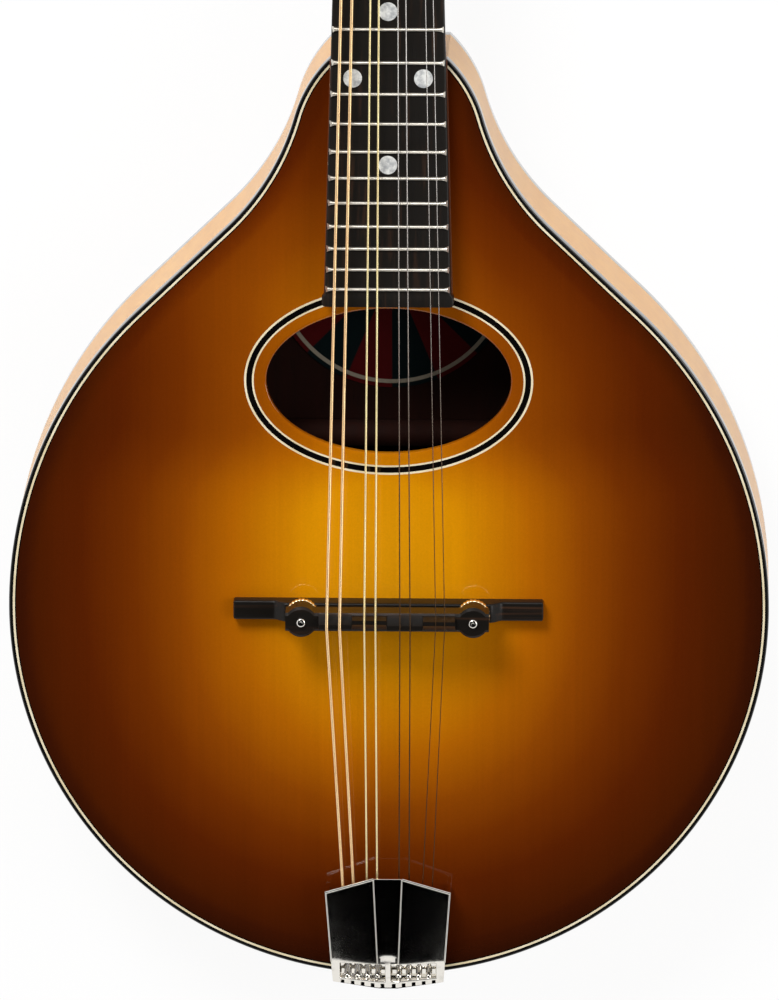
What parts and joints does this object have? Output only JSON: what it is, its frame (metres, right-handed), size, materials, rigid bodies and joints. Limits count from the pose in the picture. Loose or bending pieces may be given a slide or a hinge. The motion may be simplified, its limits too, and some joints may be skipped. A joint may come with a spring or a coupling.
{
  "type": "flat top mandolin",
  "caption": "Flat top mandolin with a teardrop body, oval soundhole, sunburst top, movable adjustable bridge, cast tailpiece, paired strings and worm-gear tuners.",
  "frame": {"origin": "on the back's flat outer face, below the theoretical end of the string length at the bridge", "axes": "+Y from tail to headstock, +X to the treble strings, +Z out of the top"},
  "size_m": [0.254, 0.6374, 0.0975],
  "materials": {
    "black_binding": "polished black",
    "bone": "polished bone colour",
    "bronze": "bronze winding",
    "brown_neck": "satin brown stained maple",
    "ebony": "oiled ebony",
    "golden_spruce": "sunburst gloss lacquer over spruce",
    "inner_spruce": "bare sawn spruce",
    "ivory": "polished ivory colour",
    "nickel": "polished nickel plate",
    "pale_maple": "gloss lacquer over pale maple",
    "paper": "printed paper",
    "rim_maple": "gloss lacquer over pale maple",
    "steel": "plain drawn steel"
  },
  "bodies": {
    "root": {"back_binding": "black_binding", "back_brace_lower": "inner_spruce", "back_brace_upper": "inner_spruce", "back_lining": "inner_spruce", "back_plate": "pale_maple", "board_riser": "brown_neck", "bridge_base": "ebony", "bridge_post_bass": "nickel", "bridge_post_treble": "nickel", "end_pin": "ebony", "fretboard": "ebony", "head_overlay": "ebony", "heel_cap": "ebony", "label": "paper", "neck": "brown_neck", "neck_block": "inner_spruce", "nut": "bone", "rim": "rim_maple", "rosette": "black_binding", "string_a1": "steel", "string_a2": "steel", "string_d1": "bronze", "string_d2": "bronze", "string_e1": "steel", "string_e2": "steel", "string_g1": "bronze", "string_g2": "bronze", "tail_block": "inner_spruce", "tailpiece": "nickel", "top_binding": "black_binding", "top_brace_lower": "inner_spruce", "top_brace_middle": "inner_spruce", "top_brace_upper": "inner_spruce", "top_lining": "inner_spruce", "top_plate": "golden_spruce", "top_purfling": "ivory", "truss_cover": "ebony", "truss_rod": "steel", "tuner_plate_bass": "nickel", "tuner_plate_treble": "nickel"},
    "button_g1": {"tuner_button_g1": "nickel"},
    "post_g1": {"tuner_post_g1": "nickel"},
    "button_g2": {"tuner_button_g2": "nickel"},
    "post_g2": {"tuner_post_g2": "nickel"},
    "button_d1": {"tuner_button_d1": "nickel"},
    "post_d1": {"tuner_post_d1": "nickel"},
    "button_d2": {"tuner_button_d2": "nickel"},
    "post_d2": {"tuner_post_d2": "nickel"},
    "button_a1": {"tuner_button_a1": "nickel"},
    "post_a1": {"tuner_post_a1": "nickel"},
    "button_a2": {"tuner_button_a2": "nickel"},
    "post_a2": {"tuner_post_a2": "nickel"},
    "button_e1": {"tuner_button_e1": "nickel"},
    "post_e1": {"tuner_post_e1": "nickel"},
    "button_e2": {"tuner_button_e2": "nickel"},
    "post_e2": {"tuner_post_e2": "nickel"},
    "saddle": {"saddle": "ebony"},
    "wheel_bass": {"thumbwheel_bass": "nickel"},
    "wheel_treble": {"thumbwheel_treble": "nickel"},
    "truss_nut": {"truss_nut": "steel"}
  },
  "joints": [
    {"name": "tuner_g1", "type": "hinge", "parent": "root", "child": "button_g1", "pos_m": [-0.0175, 0.39423, 0.00172], "axis": [-1, 0, 0], "continuous": true},
    {"name": "post_g1_turn", "type": "hinge", "parent": "root", "child": "post_g1", "pos_m": [-0.0175, 0.39226, 0.02255], "axis": [0, 0.309, 0.9511], "continuous": true},
    {"name": "tuner_g2", "type": "hinge", "parent": "root", "child": "button_g2", "pos_m": [-0.0175, 0.41639, -0.00548], "axis": [-1, 0, 0], "continuous": true},
    {"name": "post_g2_turn", "type": "hinge", "parent": "root", "child": "post_g2", "pos_m": [-0.0175, 0.41442, 0.01535], "axis": [0, 0.309, 0.9511], "continuous": true},
    {"name": "tuner_d1", "type": "hinge", "parent": "root", "child": "button_d1", "pos_m": [-0.0175, 0.43855, -0.01268], "axis": [-1, 0, 0], "continuous": true},
    {"name": "post_d1_turn", "type": "hinge", "parent": "root", "child": "post_d1", "pos_m": [-0.0175, 0.43658, 0.00815], "axis": [0, 0.309, 0.9511], "continuous": true},
    {"name": "tuner_d2", "type": "hinge", "parent": "root", "child": "button_d2", "pos_m": [-0.0175, 0.4607, -0.01988], "axis": [-1, 0, 0], "continuous": true},
    {"name": "post_d2_turn", "type": "hinge", "parent": "root", "child": "post_d2", "pos_m": [-0.0175, 0.45874, 0.00095], "axis": [0, 0.309, 0.9511], "continuous": true},
    {"name": "tuner_a1", "type": "hinge", "parent": "root", "child": "button_a1", "pos_m": [0.0175, 0.4607, -0.01988], "axis": [1, 0, 0], "continuous": true},
    {"name": "post_a1_turn", "type": "hinge", "parent": "root", "child": "post_a1", "pos_m": [0.0175, 0.45874, 0.00095], "axis": [0, 0.309, 0.9511], "continuous": true},
    {"name": "tuner_a2", "type": "hinge", "parent": "root", "child": "button_a2", "pos_m": [0.0175, 0.43855, -0.01268], "axis": [1, 0, 0], "continuous": true},
    {"name": "post_a2_turn", "type": "hinge", "parent": "root", "child": "post_a2", "pos_m": [0.0175, 0.43658, 0.00815], "axis": [0, 0.309, 0.9511], "continuous": true},
    {"name": "tuner_e1", "type": "hinge", "parent": "root", "child": "button_e1", "pos_m": [0.0175, 0.41639, -0.00548], "axis": [1, 0, 0], "continuous": true},
    {"name": "post_e1_turn", "type": "hinge", "parent": "root", "child": "post_e1", "pos_m": [0.0175, 0.41442, 0.01535], "axis": [0, 0.309, 0.9511], "continuous": true},
    {"name": "tuner_e2", "type": "hinge", "parent": "root", "child": "button_e2", "pos_m": [0.0175, 0.39423, 0.00172], "axis": [1, 0, 0], "continuous": true},
    {"name": "post_e2_turn", "type": "hinge", "parent": "root", "child": "post_e2", "pos_m": [0.0175, 0.39226, 0.02255], "axis": [0, 0.309, 0.9511], "continuous": true},
    {"name": "saddle_height", "type": "slide", "parent": "root", "child": "saddle", "axis": [0, 0, 1], "range_m": [-0.0008, 0.0012], "deforming": ["string_g1", "string_g2", "string_d1", "string_d2", "string_a1", "string_a2", "string_e1", "string_e2"]},
    {"name": "thumbwheel_bass_turn", "type": "hinge", "parent": "saddle", "child": "wheel_bass", "pos_m": [-0.0286, -0.001, 0.0543], "axis": [0, 0, 1], "range_deg": [-366, 547]},
    {"name": "thumbwheel_treble_turn", "type": "hinge", "parent": "saddle", "child": "wheel_treble", "pos_m": [0.0286, -0.001, 0.0543], "axis": [0, 0, 1], "range_deg": [-366, 547]},
    {"name": "truss_rod_turn", "type": "hinge", "parent": "root", "child": "truss_nut", "pos_m": [0, 0.35934, 0.03006], "axis": [0, 0.9976, -0.0698], "range_deg": [-180, 180]}
  ],
  "couplings": [
    {"joint": "post_g1_turn", "follows": "tuner_g1", "ratio": -0.083333},
    {"joint": "post_g2_turn", "follows": "tuner_g2", "ratio": -0.083333},
    {"joint": "post_d1_turn", "follows": "tuner_d1", "ratio": -0.083333},
    {"joint": "post_d2_turn", "follows": "tuner_d2", "ratio": -0.083333},
    {"joint": "post_a1_turn", "follows": "tuner_a1", "ratio": 0.083333},
    {"joint": "post_a2_turn", "follows": "tuner_a2", "ratio": 0.083333},
    {"joint": "post_e1_turn", "follows": "tuner_e1", "ratio": 0.083333},
    {"joint": "post_e2_turn", "follows": "tuner_e2", "ratio": 0.083333},
    {"joint": "thumbwheel_bass_turn", "follows": "saddle_height", "rad_per_m": 7913.3},
    {"joint": "thumbwheel_treble_turn", "follows": "saddle_height", "rad_per_m": 7913.3}
  ]
}
